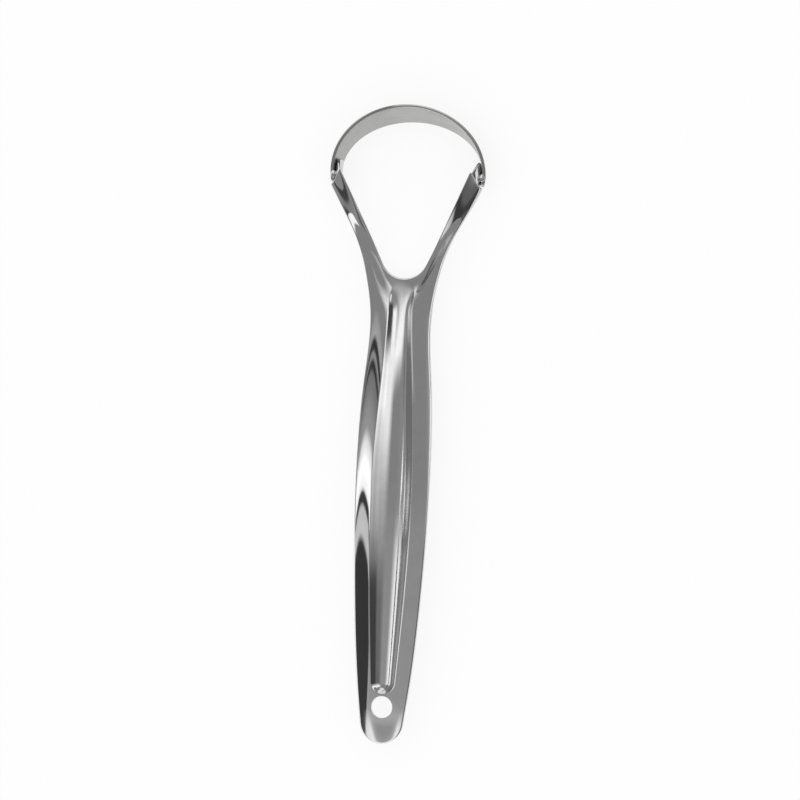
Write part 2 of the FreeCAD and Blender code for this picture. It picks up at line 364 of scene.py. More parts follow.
@dataclass
class ScraperBand:
    """The arched strip that closes the loop, from its front edge to its back edge."""

    sheet: float = 0.8
    station: float = 134.0
    drop: float = 3.0
    width: float = 37.8
    rise: float = 16.1
    side_flare: float = 1.0
    apex_flare: float = 3.2
    front_end: float = -1.9
    front_apex: float = 0.6
    back_end: float = -6.0
    back_apex: float = -6.4
    corner: float = 1.5
    edge_round: float = 0.3
    edge_height: float = 6.0
    corner_height: float = 4.6
    grain_height: float = 7.0
    end_crowding: float = 0.35
    columns: int = 181
    face_rows: int = 8
    edge_rows: int = 6

    def point(self, along: np.ndarray, across: np.ndarray, inset: np.ndarray) -> np.ndarray:
        """Return points of the band.

        Args:
            along: shares of the way from the right end to the left end.
            across: shares of the way from the front edge to the back edge.
            inset: distances in from the outer face.

        Returns:
            Rows of x, station and height.
        """
        drop_angle = math.asin(self.drop / self.rise)
        angle = -drop_angle + along * (math.pi + 2.0 * drop_angle)
        climb = (np.sin(angle) * self.rise + self.drop) / (self.rise + self.drop)
        front = blend(self.front_end, self.front_apex, climb)
        back = blend(self.back_end, self.back_apex, climb)
        return np.stack([(self.width / 2.0 - self.side_flare * across - inset) * np.cos(angle),
                         self.station + (self.rise - self.apex_flare * across - inset) * np.sin(angle),
                         blend(front, back, across)], axis=-1)

    def strip(self) -> Mesh:
        """Make a flat closed strip that carries each point's shares for the tree that bends it.

        Returns:
            The strip's mesh.
        """
        length = math.pi * (self.width / 2.0 + self.rise) / 2.0 + 2.0 * self.drop
        section = slat_section(self.edge_round / self.edge_height, self.face_rows, self.edge_rows)
        ring = len(section)
        shares, grain, edges = [], [], []
        for column in range(self.columns):
            spread = column / (self.columns - 1)
            crowding = 1.0 - self.end_crowding * math.sin(math.pi * spread)
            along = 0.5 - 0.5 * math.cos(math.pi * spread) * crowding
            reach = min(along, 1.0 - along) * length
            short = max(self.corner - reach, 0.0)
            trim = (self.corner - math.sqrt(max(self.corner ** 2 - short ** 2, 0.0))) / self.corner_height
            for across, through, edge in section:
                share = blend(trim, 1.0 - trim, across)
                shares.append((along, share, through * self.sheet))
                grain.append((along * length, share * self.grain_height, float(through > 0.5)))
                edges.append(edge)
        faces = []
        for column in range(self.columns - 1):
            for row in range(ring):
                low, high = column * ring, (column + 1) * ring
                other = (row + 1) % ring
                faces.append((low + row, low + other, high + other, high + row))
        faces.append(tuple(reversed(range(ring))))
        last = (self.columns - 1) * ring
        faces.append(tuple(range(last, last + ring)))
        mesh = bpy.data.meshes.new("band_strip")
        mesh.from_pydata(shares, [], faces)
        for name, values in (("shares", shares), ("grain", grain)):
            mesh.attributes.new(name, "FLOAT_VECTOR", "POINT").data.foreach_set("vector", np.ravel(values))
        mesh.attributes.new("edge", "FLOAT", "POINT").data.foreach_set("value", edges)
        return mesh

    def tree(self, material: Material) -> tuple[NodeTree, dict[str, str]]:
        """Build the tree that bends the strip along its two half ellipses.

        Args:
            material: the strip's finish.

        Returns:
            The tree, and the identifier of each named input.
        """
        tree, graph, names = started_tree("bend_band", self.inputs())
        given = graph.add("NodeGroupInput").outputs
        shares = graph.first("GeometryNodeInputNamedAttribute", {"Name": "shares"}, data_type="FLOAT_VECTOR")
        part = graph.add("ShaderNodeSeparateXYZ", {0: shares}).outputs
        drop_angle = graph.math("ARCSINE", graph.math("DIVIDE", given["Drop"], given["Rise"]))
        sweep = graph.math("MULTIPLY_ADD", drop_angle, 2.0, math.pi)
        angle = graph.math("SUBTRACT", graph.math("MULTIPLY", part[0], sweep), drop_angle)
        sine, cosine = graph.math("SINE", angle), graph.math("COSINE", angle)
        climb = graph.math("DIVIDE", graph.math("MULTIPLY_ADD", sine, given["Rise"], given["Drop"]),
                           graph.math("ADD", given["Rise"], given["Drop"]))
        front = graph.mix(given["Front end"], given["Front apex"], climb)
        back = graph.mix(given["Back end"], given["Back apex"], climb)
        half = graph.math("SUBTRACT", graph.math("MULTIPLY", given["Width"], 0.5),
                          graph.math("MULTIPLY_ADD", given["Side flare"], part[1], part[2]))
        rise = graph.math("SUBTRACT", given["Rise"],
                          graph.math("MULTIPLY_ADD", given["Apex flare"], part[1], part[2]))
        place = graph.first("ShaderNodeCombineXYZ", {
            0: graph.math("MULTIPLY", half, cosine),
            1: graph.math("MULTIPLY_ADD", rise, sine, given["Station"]),
            2: graph.math("ADD", graph.mix(front, back, part[1]), FLANGE_Z)})
        moved = graph.first("GeometryNodeSetPosition", {"Geometry": given["Geometry"],
                                                        "Position": graph.scaled(place, MM)})
        finish_tree(graph, graph.first("GeometryNodeSetShadeSmooth", {"Geometry": moved}), material)
        return tree, names

    def inputs(self) -> dict[str, float]:
        """Return the tree's named sizes."""
        return {"Station": self.station + TAIL_Y, "Drop": self.drop, "Width": self.width, "Rise": self.rise,
                "Side flare": self.side_flare, "Apex flare": self.apex_flare, "Front end": self.front_end,
                "Front apex": self.front_apex, "Back end": self.back_end, "Back apex": self.back_apex}

    def build(self) -> Object:
        """Return the finished band."""
        tree, names = self.tree(SATIN_GRIND.make())
        return settled("scraper_band_skin", self.strip(), tree, names, self.inputs())


@dataclass
class SpotWelds:
    """The weld beads on the band's front edge at its two ends."""

    band: ScraperBand
    along_share: float = 0.04
    size: tuple[float, float, float] = (1.35, 1.8, 1.0)
    inset: float = 0.85
    unevenness: float = 0.25
    ripple_scale: float = 3.1
    subdivisions: int = 5

    def tree(self, material: Material) -> tuple[NodeTree, dict[str, str]]:
        """Build the tree that sets a bead at each end.

        Args:
            material: the beads' finish.

        Returns:
            The tree, and the identifier of each named input.
        """
        tree, graph, names = started_tree("set_beads", self.inputs())
        given = graph.add("NodeGroupInput").outputs
        ball = graph.first("GeometryNodeMeshIcoSphere",
                           {"Radius": 0.5, "Subdivisions": self.subdivisions})
        place = graph.first("GeometryNodeInputPosition")
        ripple = graph.first("ShaderNodeTexNoise",
                             {"Vector": place, "Scale": self.ripple_scale, "Detail": 2.0})
        swell = graph.math("MULTIPLY_ADD", graph.math("SUBTRACT", ripple, 0.5), given["Unevenness"], 1.0)
        ball = graph.first("GeometryNodeSetPosition",
                           {"Geometry": ball, "Position": graph.scaled(place, swell)})
        ball = graph.first("GeometryNodeSetShadeSmooth", {"Geometry": ball})
        size = graph.first("ShaderNodeCombineXYZ", {0: given["Across"], 1: given["Along"], 2: given["Up"]})
        points = graph.first("GeometryNodeMeshToPoints", {"Mesh": given["Geometry"]})
        beads = graph.first("GeometryNodeInstanceOnPoints", {"Points": points, "Instance": ball,
                                                             "Scale": graph.scaled(size, MM)})
        finish_tree(graph, beads, material)
        return tree, names

    def inputs(self) -> dict[str, float]:
        """Return the tree's named sizes."""
        return {"Across": self.size[0], "Along": self.size[1], "Up": self.size[2],
                "Unevenness": self.unevenness}

    def build(self) -> Object:
        """Set the beads on the band's front edge.

        Returns:
            The finished beads.
        """
        right = self.band.point(np.array(self.along_share), np.array(0.0), np.array(self.inset))
        seats = to_row(np.array([right, right * np.array([-1.0, 1.0, 1.0])]))
        mesh = bpy.data.meshes.new("bead_seats")
        mesh.from_pydata([tuple(seat) for seat in seats], [], [])
        tree, names = self.tree(BEAD_POLISH.make())
        return settled("spot_welds_skin", mesh, tree, names, self.inputs())


def curve_through(points: list[tuple[float, float]], first: tuple[float, float], last: tuple[float, float],
                  step: float) -> np.ndarray:
    """Return points along the smooth curve through some points.

    Args:
        points: the points that the curve passes.
        first: its unit direction at the start.
        last: its unit direction at the end.
        step: the distance between the returned points.

    Returns:
        Rows of x and y.
    """
    knots = np.array(points)
    gaps = np.linalg.norm(np.diff(knots, axis=0), axis=1)
    count = len(knots)
    left = np.eye(count)
    right = np.zeros((count, 2))
    right[0], right[-1] = first, last
    for index in range(1, count - 1):
        before, after = gaps[index - 1], gaps[index]
        left[index, index - 1:index + 2] = (1.0 / before, 2.0 / before + 2.0 / after, 1.0 / after)
        right[index] = 3.0 * ((knots[index] - knots[index - 1]) / before ** 2
                              + (knots[index + 1] - knots[index]) / after ** 2)
    slopes = np.linalg.solve(left, right)
    made = []
    for index in range(count - 1):
        share = np.arange(0.0, 1.0, step / gaps[index])[:, None]
        cube, square = share ** 3, share ** 2
        made.append((2.0 * cube - 3.0 * square + 1.0) * knots[index]
                    + (3.0 * square - 2.0 * cube) * knots[index + 1]
                    + gaps[index] * ((cube - 2.0 * square + share) * slopes[index]
                                     + (cube - square) * slopes[index + 1]))
    return np.concatenate(made + [knots[-1:]])


def evened(loop: np.ndarray, step: float) -> np.ndarray:
    """Move a closed loop's points along it to lie about a step apart.

    Args:
        loop: rows of x and y.
        step: the distance between the moved points.

    Returns:
        The moved points.
    """
    closed = np.vstack([loop, loop[:1]])
    reach = np.concatenate([[0.0], np.cumsum(np.linalg.norm(np.diff(closed, axis=0), axis=1))])
    marks = np.linspace(0.0, reach[-1], int(round(reach[-1] / step)), endpoint=False)
    return np.stack([np.interp(marks, reach, closed[:, 0]), np.interp(marks, reach, closed[:, 1])], axis=1)


def softened(loop: np.ndarray, reach: float) -> np.ndarray:
    """Round the corners of a closed, even loop.

    Args:
        loop: its points.
        reach: about how many points a corner is rounded over.

    Returns:
        The rounded loop's points.
    """
    far = int(SOFT_REACHES * reach)
    offsets = np.arange(-far, far + 1)
    weights = np.exp(-0.5 * (offsets / reach) ** 2)
    weights /= weights.sum()
    return sum(weight * np.roll(loop, offset, axis=0) for weight, offset in zip(weights, offsets))


def outward(loop: np.ndarray) -> np.ndarray:
    """Find the unit direction away from a closed loop's left side.

    Args:
        loop: its points.

    Returns:
        The direction at each point.
    """
    run = np.roll(loop, -1, axis=0) - np.roll(loop, 1, axis=0)
    run /= np.linalg.norm(run, axis=1)[:, None]
    return np.stack([run[:, 1], -run[:, 0]], axis=1)


def inside(points: np.ndarray, loop: np.ndarray) -> np.ndarray:
    """Find which points lie in a closed loop.

    Args:
        points: rows of x and y.
        loop: the loop's points.

    Returns:
        Whether each point lies in it.
    """
    found = np.zeros(len(points), bool)
    for start, end in zip(loop, np.roll(loop, -1, axis=0)):
        crosses = (start[1] > points[:, 1]) != (end[1] > points[:, 1])
        if crosses.any():
            side = (end[0] - start[0]) * (points[:, 1] - start[1]) / (end[1] - start[1]) + start[0]
            found ^= crosses & (points[:, 0] < side)
    return found


def arc(radius: float, station: float, turns: np.ndarray) -> np.ndarray:
    """Return the points at some turns of a circle round a station of the middle line."""
    return np.stack([radius * np.cos(turns), station + radius * np.sin(turns)], axis=1)


@dataclass
class MeshDraft:
    """A mesh in the making, with each point's edge share and wanted normal."""

    points: list[np.ndarray] = field(default_factory=list)
    normals: list[np.ndarray] = field(default_factory=list)
    edges: list[np.ndarray] = field(default_factory=list)
    faces: list[tuple[int, ...]] = field(default_factory=list)
    count: int = 0

    def add(self, points: np.ndarray, edge: float, normals: Optional[np.ndarray] = None) -> np.ndarray:
        """Add points.

        Args:
            points: rows of x, station and height.
            edge: how far they count as edge, from 0 to 1.
            normals: the normals they keep, if they have any.

        Returns:
            The points' numbers.
        """
        first = self.count
        self.count += len(points)
        self.points.append(points)
        self.normals.append(np.zeros_like(points) if normals is None else normals)
        self.edges.append(np.full(len(points), edge))
        return np.arange(first, self.count)

    def loft(self, low: np.ndarray, high: np.ndarray) -> None:
        """Join two closed rings of the same length with faces.

        Args:
            low: the first ring's point numbers.
            high: the second ring's point numbers.
        """
        for index in range(len(low)):
            other = (index + 1) % len(low)
            self.faces.append((int(low[index]), int(low[other]), int(high[other]), int(high[index])))

    def mesh(self, name: str) -> Mesh:
        """Make the mesh in the row frame.

        Args:
            name: its name.

        Returns:
            The mesh, with smooth faces and the wanted normals.
        """
        made = bpy.data.meshes.new(name)
        made.from_pydata(to_row(np.concatenate(self.points)).tolist(), [], self.faces)
        made.attributes.new("edge", "FLOAT", "POINT").data.foreach_set("value", np.concatenate(self.edges))
        made.polygons.foreach_set("use_smooth", np.ones(len(made.polygons), bool))
        made.update()
        made.normals_split_custom_set_from_vertices(np.concatenate(self.normals).tolist())
        return made


@dataclass
class HandleFrame:
    """The pressed handle with its trough, flanges, hanging hole, arms and ears."""

    band: ScraperBand
    sheet: float = 1.0
    tail_radius: float = 5.3
    tail_taper: float = math.radians(7.0)
    belly_station: float = 60.0
    belly_width: float = 18.0
    neck_station: float = 99.3
    neck_width: float = 14.8
    hole_radius: float = 2.5
    hole_station: float = 8.6
    hole_break: float = 0.16
    trough_low: float = 11.6
    trough_high: float = 108.7
    trough_low_width: float = 6.0
    trough_belly_width: float = 10.0
    trough_high_width: float = 5.8
    trough_depth: float = 2.6
    floor_power: float = 2.5
    lip_power: float = 1.3
    flange_width: float = 4.0
    flange_drop: float = 0.4
    bow_station: float = 45.0
    bow_radius: float = 2200.0
    crotch_station: float = 109.3
    crotch_radius: float = 5.8
    arm_lean: float = math.radians(25.7)
    arm_tip: tuple[float, float] = (15.87, 134.7)
    arm_width: float = 3.9
    arm_dish: float = 1.4
    crease: tuple[float, float] = (14.74, 125.2)
    crease_lean: float = math.radians(41.6)
    crease_rounding: float = 0.8
    arm_fold: float = math.radians(40.0)
    lap_gap: float = 0.05
    edge_round: float = 0.42
    corner_round: float = 0.3
    spacing: float = 0.42
    ear_fold_shares: tuple[float, float] = (0.05, 0.93)
    ear_setback: float = 0.3
    ear_length_share: float = 0.115
    ear_width_share: float = 0.55
    ear_edge_share: float = 0.08
    ear_face_rows: int = 8
    ear_edge_rows: int = 5
    ear_rows: int = 18
    taper_shares: Pairs = ((0.13, 0.25), (0.5, 0.73))
    necking_shares: Pairs = ((0.38, 0.10), (0.62, 0.44))
    flare_shares: Pairs = ((0.29, 0.105), (0.575, 0.35), (0.83, 0.735))
    outline_step: float = 0.1
    slope_step: float = 0.02
    edge_steps: int = 8
    edge_power: float = 0.8
    edge_bend_share: float = 0.75
    least_bend: float = 0.01
    inset_reach: float = 2.0
    hole_points: int = 64
    hole_slack: float = 0.9
    mesh_tolerance: float = 1e-6
    lip_reaches: tuple[float, ...] = (1.05, 1.0, 0.95, 0.89, 0.82)
    lip_end_points: int = 24
    line_gap: float = 0.22
    grid_gap: float = 0.27
    grid_row_share: float = 0.866
    grid_half_width: float = 19.0

    def trough_cores(self) -> tuple[float, float]:
        """Return the stations at which the trough's round ends start."""
        return self.trough_low + self.trough_low_width / 2.0, self.trough_high - self.trough_high_width / 2.0

    def trough_reach(self, x: np.ndarray, y: np.ndarray) -> tuple[np.ndarray, np.ndarray]:
        """Find how far points lie from the trough's middle line.

        Args:
            x: the points' distances to the right of the middle.
            y: their stations.

        Returns:
            The distances as shares of the way to the trough's lip, and the trough's half widths.
        """
        low_core, high_core = self.trough_cores()
        station = np.clip(y, low_core, high_core)
        climb = np.clip((station - low_core) / (self.belly_station - low_core), 0.0, 1.0)
        rising = np.sin(climb * math.pi / 2.0)
        falling = ease((station - self.belly_station) / (high_core - self.belly_station))
        width = np.where(station < self.belly_station,
                         blend(self.trough_low_width, self.trough_belly_width, rising),
                         blend(self.trough_belly_width, self.trough_high_width, falling))
        end = np.where(y < self.belly_station, self.trough_low_width, self.trough_high_width) / 2.0
        return np.hypot(2.0 * x / width, (y - station) / end), width / 2.0

    def inner_edge(self, y: np.ndarray) -> np.ndarray:
        """Return how far an arm's inner edge lies from the middle at stations."""
        return self.arm_tip[0] - (self.arm_tip[1] - y) * math.tan(self.arm_lean)

    def fold_rise(self, x: np.ndarray, y: np.ndarray) -> np.ndarray:
        """Find how far the arms are folded forward.

        Args:
            x: points' distances to the right of the middle.
            y: their stations.

        Returns:
            The points' rises, which start at the arms' creases.
        """
        past = ((self.crease[0] - np.abs(x)) * math.cos(self.crease_lean)
                + (y - self.crease[1]) * math.sin(self.crease_lean))
        rounded = (past + np.hypot(past, self.crease_rounding)) / 2.0
        fade = ease((y - self.crotch_station) / (self.crease[1] - self.crotch_station) * 2.0)
        return rounded * fade * math.tan(self.arm_fold)

    def height(self, x: np.ndarray, y: np.ndarray) -> np.ndarray:
        """Find the heights of the open face.

        Args:
            x: points' distances to the right of the middle.
            y: their stations.

        Returns:
            The points' heights.
        """
        reach, half_width = self.trough_reach(x, y)
        depth_share = np.clip(1.0 - reach ** self.floor_power, 0.0, None) ** self.lip_power
        past_lip = np.clip(np.abs(x) - half_width, 0.0, None)
        handle = 1.0 - ease((y - self.neck_station) / (self.crotch_station - self.neck_station))
        drop = self.flange_drop * (past_lip / self.flange_width) ** 2 * handle
        dish = (ease(1.0 - (np.abs(x) - self.inner_edge(y)) / self.arm_width)
                * (1.0 - handle) * (1.0 - depth_share))
        bow = -np.clip(y - self.bow_station, 0.0, None) ** 2 / (2.0 * self.bow_radius)
        depth = self.trough_depth * 2.0 * half_width / self.trough_belly_width
        return bow - depth * depth_share - drop - self.arm_dish * dish + self.fold_rise(x, y)

    def lifted(self, plan: np.ndarray) -> np.ndarray:
        """Return plan points raised to the open face."""
        return np.column_stack([plan, self.height(plan[:, 0], plan[:, 1])])

    def normals(self, plan: np.ndarray) -> np.ndarray:
        """Find the open face's unit normals.

        Args:
            plan: rows of x and station.

        Returns:
            The normals at these points.
        """
        step = self.slope_step
        x, y = plan[:, 0], plan[:, 1]
        across = (self.height(x + step, y) - self.height(x - step, y)) / (2.0 * step)
        along = (self.height(x, y + step) - self.height(x, y - step)) / (2.0 * step)
        found = np.column_stack([-across, -along, np.ones(len(plan))])
        return found / np.linalg.norm(found, axis=1)[:, None]

    def fold_ends(self) -> tuple[np.ndarray, np.ndarray]:
        """Return the ends of the fold between the right arm and its ear."""
        start = self.band.point(np.array(0.0), np.array(0.0), np.array(self.band.sheet + self.lap_gap))
        return start[:2], np.array(self.arm_tip)

    def outline(self) -> np.ndarray:
        """Draw the closed outline, with slightly rounded corners.

        Returns:
            Its points, anticlockwise from the tail end.
        """
        step, radius = self.outline_step, self.tail_radius
        taper, lean = self.tail_taper, self.arm_lean
        tail = arc(radius, radius, np.arange(-math.pi / 2.0, -taper, step / radius))
        tail_side = (radius * math.cos(taper), radius - radius * math.sin(taper))
        belly = (self.belly_width / 2.0, self.belly_station)
        neck = (self.neck_width / 2.0, self.neck_station)
        shoulder = self.band.point(np.array(0.0), np.array(0.0), np.array(0.0))
        corner = (float(shoulder[0]), float(shoulder[1]) - self.lap_gap)
        knots = [tail_side]
        for start, end, shares in ((tail_side, belly, self.taper_shares), (belly, neck, self.necking_shares),
                                   (neck, corner, self.flare_shares)):
            knots += [(blend(start[0], end[0], wide), blend(start[1], end[1], along))
                      for along, wide in shares]
            knots.append(end)
        side = curve_through(knots, (math.sin(taper), math.cos(taper)),
                             (math.sin(lean), math.cos(lean)), step)
        fold_start, tip = self.fold_ends()
        crotch = arc(self.crotch_radius, self.crotch_station + self.crotch_radius,
                     np.arange(-lean, -math.pi / 2.0, -step / self.crotch_radius))
        right = np.vstack([tail, side, fold_start[None], tip[None], crotch])
        left = (right * np.array([-1.0, 1.0]))[::-1]
        loop = evened(np.vstack([right, left]), step)
        return evened(softened(loop, self.corner_round / step), self.spacing)

    def round_edge(self, draft: MeshDraft, loop: np.ndarray, away: np.ndarray, inset: np.ndarray,
                   front: np.ndarray, back: np.ndarray) -> None:
        """Close the sheet's edge along a loop with a rounded wall.

        Args:
            draft: the mesh in the making.
            loop: the loop at the front face's rim.
            away: the direction out of the sheet at each point.
            inset: how far each point lies inside the sheet's real edge.
            front: the rim's numbers on the front face.
            back: the rim's numbers on the back face.
        """
        last = front
        for index in range(1, self.edge_steps):
            turn = math.pi * index / self.edge_steps
            out = abs(math.sin(turn)) ** self.edge_power
            lift = math.copysign(abs(math.cos(turn)) ** self.edge_power, math.cos(turn))
            plan = loop + away * (inset * out)[:, None]
            points = self.lifted(plan)
            points[:, 2] += self.sheet / 2.0 * (lift - 1.0)
            ring = draft.add(points, 1.0)
            draft.loft(ring, last)
            last = ring
        draft.loft(back, last)

    def spread_points(self, rims: list[np.ndarray], border: np.ndarray) -> np.ndarray:
        """Return points all over the face, close together along the trough's lip.

        Args:
            rims: the loops that bound the face.
            border: the loop that the points stay in.

        Returns:
            Rows of x and y.
        """
        low, high = self.trough_cores()
        stations = np.arange(low, high, self.spacing)
        _, half = self.trough_reach(np.zeros_like(stations), stations)
        half_turn = np.linspace(0.0, math.pi, self.lip_end_points)[1:-1]
        rows = []
        for reach in self.lip_reaches:
            rows += [np.stack([half * reach, stations], axis=1), np.stack([-half * reach, stations], axis=1),
                     arc(self.trough_low_width / 2.0 * reach, low, half_turn + math.pi),
                     arc(self.trough_high_width / 2.0 * reach, high, half_turn)]
        lines = np.vstack(rows)
        grid_rows = []
        for index, y in enumerate(np.arange(0.0, self.arm_tip[1] + 1.0, self.spacing * self.grid_row_share)):
            shift = index % 2
            x = np.arange(0.0, self.grid_half_width, self.spacing) + 0.5 * self.spacing * shift
            x = np.concatenate([-x[::-1], x[1 - shift:]])
            grid_rows.append(np.stack([x, np.full_like(x, y)], axis=1))
        grid = np.vstack(grid_rows)
        lines = lines[inside(lines, border)]
        lines = lines[self.clear_of(lines, np.vstack(rims), self.line_gap)]
        grid = grid[inside(grid, border)]
        grid = grid[self.clear_of(grid, np.vstack(rims + [lines]), self.grid_gap)]
        return np.vstack([lines, grid])

    @staticmethod
    def clear_of(points: np.ndarray, others: np.ndarray, gap: float) -> np.ndarray:
        """Find which points lie clear of others.

        Args:
            points: rows of x and y.
            others: rows of x and y.
            gap: the least distance between them.

        Returns:
            Whether each point lies at least the gap away from all the others.
        """
        kept = np.ones(len(points), bool)
        others = others[np.argsort(others[:, 1])]
        for index, point in enumerate(points):
            first, last = np.searchsorted(others[:, 1], (point[1] - gap, point[1] + gap))
            near = others[first:last] - point
            if len(near) and (near ** 2).sum(axis=1).min() < gap * gap:
                kept[index] = False
        return kept

    def build(self) -> Object:
        """Draw both faces of the sheet, close its edges and add the ears.

        Returns:
            The finished frame.
        """
        draft = MeshDraft()
        edge = self.outline()
        away = outward(edge)
        bend = np.abs(np.cross(np.roll(away, 1, axis=0), np.roll(away, -1, axis=0))) / (2.0 * self.spacing)
        inset = np.minimum(self.edge_round, self.edge_bend_share / np.maximum(bend, self.least_bend))
        inset = np.minimum(inset, softened(inset[:, None], self.inset_reach)[:, 0])
        rim = edge - away * inset[:, None]
        turn = -np.linspace(0.0, 2.0 * math.pi, self.hole_points, endpoint=False)
        hole_rim = arc(self.hole_radius + self.hole_break, self.hole_station, turn)
        fill = self.spread_points([rim, hole_rim], rim)
        plan = np.vstack([rim, hole_rim, fill])
        first = len(rim)
        last = first + len(hole_rim)
        links = [(index, (index + 1) % first) for index in range(first)]
        links += [(index, first + (index + 1 - first) % (last - first)) for index in range(first, last)]
        solved = delaunay_2d_cdt([Vector(point) for point in plan], links, [], INSIDE_ONLY,
                                 self.mesh_tolerance)
        spots = np.array([tuple(spot) for spot in solved[0]])
        numbers = {source: made for made, sources in enumerate(solved[3]) for source in sources}
        front = draft.add(self.lifted(spots), 0.0, self.normals(spots))
        back_points = self.lifted(spots)
        back_points[:, 2] -= self.sheet
        back = draft.add(back_points, 0.0, -self.normals(spots))
        for face in solved[2]:
            middle = spots[list(face)].mean(axis=0) - np.array([0.0, self.hole_station])
            if np.hypot(*middle) < self.hole_radius + self.hole_break * self.hole_slack:
                continue
            draft.faces.append(tuple(int(front[index]) for index in face))
            draft.faces.append(tuple(int(back[index]) for index in reversed(face)))
        for loop, direction, depth, numbers_at in (
                (rim, away, inset, range(first)),
                (hole_rim, -arc(1.0, 0.0, turn), np.full(self.hole_points, self.hole_break),
                 range(first, last))):
            chosen = [numbers[index] for index in numbers_at]
            self.round_edge(draft, loop, direction, depth, front[chosen], back[chosen])
        self.add_ears(draft)
        made = plain_object("handle_frame_skin", draft.mesh("handle_frame_skin"))
        made.data.materials.append(MIRROR_POLISH.make())
        return made

    def ear_point(self, along: float, fall: float, inset: float) -> np.ndarray:
        """Return a point of the right ear.

        Args:
            along: share of the way along the fold.
            fall: share of the way down from the fold.
            inset: share of the way through the sheet.

        Returns:
            Its x, station and height.
        """
        start, tip = self.fold_ends()
        run = (tip - start) / np.linalg.norm(tip - start)
        back = -np.array([math.sin(self.arm_lean), math.cos(self.arm_lean)])
        step = back * (self.sheet / abs(run[0] * back[1] - run[1] * back[0]))
        plan = start + (tip - start) * blend(*self.ear_fold_shares, along)
        plan = plan + step * (self.ear_setback + inset)
        top = self.lifted(plan[None])[0] - np.array([0.0, 0.0, self.sheet / 2.0])
        depth = self.band.sheet + self.lap_gap + self.sheet * inset
        seat = self.band.point(np.array(self.ear_length_share * along),
                               np.array(self.ear_width_share * fall), np.array(depth))
        return top + (seat - top) * ease(np.array(2.0 * fall))

    def add_ears(self, draft: MeshDraft) -> None:
        """Add both ears as slats with rounded edges.

        Args:
            draft: the mesh in the making.
        """
        section = slat_section(self.ear_edge_share, self.ear_face_rows, self.ear_edge_rows)
        for side in (1.0, -1.0):
            rings = []
            for row in range(self.ear_rows + 1):
                points = np.array([self.ear_point(along, row / self.ear_rows, inset)
                                   for along, inset, _ in section])
                points[:, 0] *= side
                rings.append(draft.add(points, 0.0))
            for low, high in zip(rings, rings[1:]):
                draft.loft(*((low, high) if side > 0 else (high, low)))
            ends = (rings[0][::-1], rings[-1]) if side > 0 else (rings[0], rings[-1][::-1])
            for end in ends:
                draft.faces.append(tuple(int(number) for number in end))


def stepped_glow(graph: NodeGraph, along: NodeSocket, levels: Pairs) -> NodeSocket:
    """Return a glow that eases from level to level.

    Args:
        graph: the glow's node tree.
        along: share of the way along the lit surface.
        levels: shares of the way and the glow at each.

    Returns:
        The glow's socket.
    """
    ramp = graph.add("ShaderNodeValToRGB", {"Fac": along})
    ramp.color_ramp.interpolation = "EASE"
    stops = ramp.color_ramp.elements
    for index, (place, level) in enumerate(levels):
        stop = stops[index] if index < 2 else stops.new(place)
        stop.position = place
        stop.color = (level / GLOW_TOP, level / GLOW_TOP, level / GLOW_TOP, 1.0)
    return graph.math("MULTIPLY", ramp.outputs["Color"], GLOW_TOP)


def only_mirrored(made: Object) -> None:
    """Leave a lit surface to mirror rays alone.

    Args:
        made: the surface.
    """
    made.visible_camera = False
    made.visible_diffuse = False
    made.visible_shadow = False
    made.visible_transmission = False


@dataclass
class GlowStrip:
    """A lit strip close above one part of the frame, which that part alone mirrors."""

    name: str
    sides: tuple[float, float]
    height: float
    levels: Pairs
    arch: float = 0.0
    ends: tuple[float, float] = (-20.0, 170.0)
    slant: float = 0.0
    fade: float = 0.0
    rise: float = 0.0

    def rows(self) -> tuple[float, float]:
        """Return where the strip starts and ends along the row frame."""
        return (self.ends[0] + TAIL_Y) * MM, (self.ends[1] + TAIL_Y) * MM

    def material(self) -> Material:
        """Build the strip's glow, in arches along it.

        Returns:
            The glowing material, which is clear at the edges of a strip that fades.
        """
        made, graph = started_material(self.name)
        place = graph.add("ShaderNodeSeparateXYZ", {0: graph.object_place()}).outputs
        low, high = self.sides
        first, last = self.rows()
        from_middle = graph.math("SUBTRACT", place[1], (first + last) / 2.0)
        leant = graph.math("MULTIPLY_ADD", from_middle, -self.slant * MM / (last - first), place[0])
        offset = graph.math("DIVIDE", graph.math("SUBTRACT", leant, (low + high) / 2.0 * MM),
                            (high - low) / 2.0 * MM)
        arched = graph.math("MULTIPLY_ADD", graph.math("MULTIPLY", offset, offset), self.arch * MM, place[1])
        along = graph.spread(arched, first, last)
        span = self.ends[1] - self.ends[0]
        shares = tuple(((station - self.ends[0]) / span, level) for station, level in self.levels)
        glow = graph.first("ShaderNodeEmission",
                           {"Color": WHITE, "Strength": stepped_glow(graph, along, shares)})
        if self.fade:
            clear = graph.first("ShaderNodeBsdfTransparent")
            run = graph.spread(place[1], first, last)
            ends = graph.math("MULTIPLY", graph.spread(run, 0.0, self.fade / 2.0),
                              graph.spread(run, 1.0 - self.fade / 4.0, 1.0, 1.0, 0.0))
            across = graph.spread(graph.math("ABSOLUTE", offset), 1.0 - self.fade, 1.0, 1.0, 0.0)
            share = graph.math("MULTIPLY", ends, across)
            glow = graph.first("ShaderNodeMixShader", {0: share, 1: clear, 2: glow})
        graph.add("ShaderNodeOutputMaterial", {"Surface": glow})
        return made

    def build(self) -> Object:
        """Set the strip above the frame.

        Returns:
            The strip, seen only by mirror rays.
        """
        low, high = (side * MM for side in self.sides)
        first, last = self.rows()
        lean = self.slant / 2.0 * MM
        up = (FLANGE_Z + self.height) * MM
        left_up = up + self.rise * MM
        mesh = bpy.data.meshes.new(self.name)
        mesh.from_pydata([(low - lean, first, left_up), (high - lean, first, up), (high + lean, last, up),
                          (low + lean, last, left_up)], [], [(0, 3, 2, 1)])
        mesh.materials.append(self.material())
        made = plain_object(self.name, mesh)
        only_mirrored(made)
        return made


